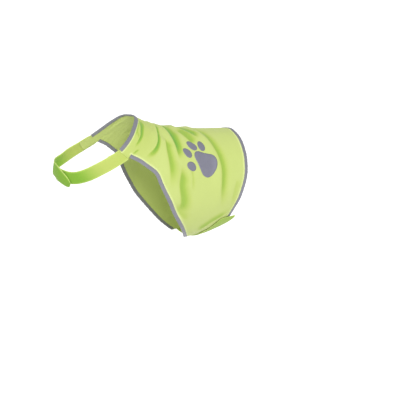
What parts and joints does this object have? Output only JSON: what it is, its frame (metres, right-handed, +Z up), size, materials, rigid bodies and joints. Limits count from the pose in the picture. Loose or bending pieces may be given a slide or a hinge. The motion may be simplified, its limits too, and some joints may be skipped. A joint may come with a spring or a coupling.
{
  "type": "dog safety vest",
  "caption": "Hi-vis dog safety vest as worn: a back panel with side flaps and bound edges, neck straps that overlap on the chest, and a wide belly strap.",
  "frame": {"origin": "on the underside of the back panel, at the middle of the spine, where the wearer's back holds it", "axes": "+Z up, -X towards the wearer's head, -Y towards the wearer's left side"},
  "size_m": [0.465, 0.233, 0.3187],
  "materials": {
    "hi_vis_cloth": "fluorescent yellow-green polyester knit, matt",
    "strap_cloth": "fluorescent yellow-green brushed loop cloth, matt",
    "reflective_tape": "grey retroreflective tape, satin",
    "hook_tape": "hook tape, matt"
  },
  "bodies": {
    "root": {"back_panel": "hi_vis_cloth", "neck_binding": "reflective_tape", "leg_binding_left": "reflective_tape", "leg_binding_right": "reflective_tape", "rear_binding": "reflective_tape", "neck_strap_left": "strap_cloth", "neck_strap_right": "strap_cloth", "belly_strap": "strap_cloth", "neck_hook_tape": "hook_tape", "belly_hook_tape": "hook_tape"}
  },
  "joints": []
}
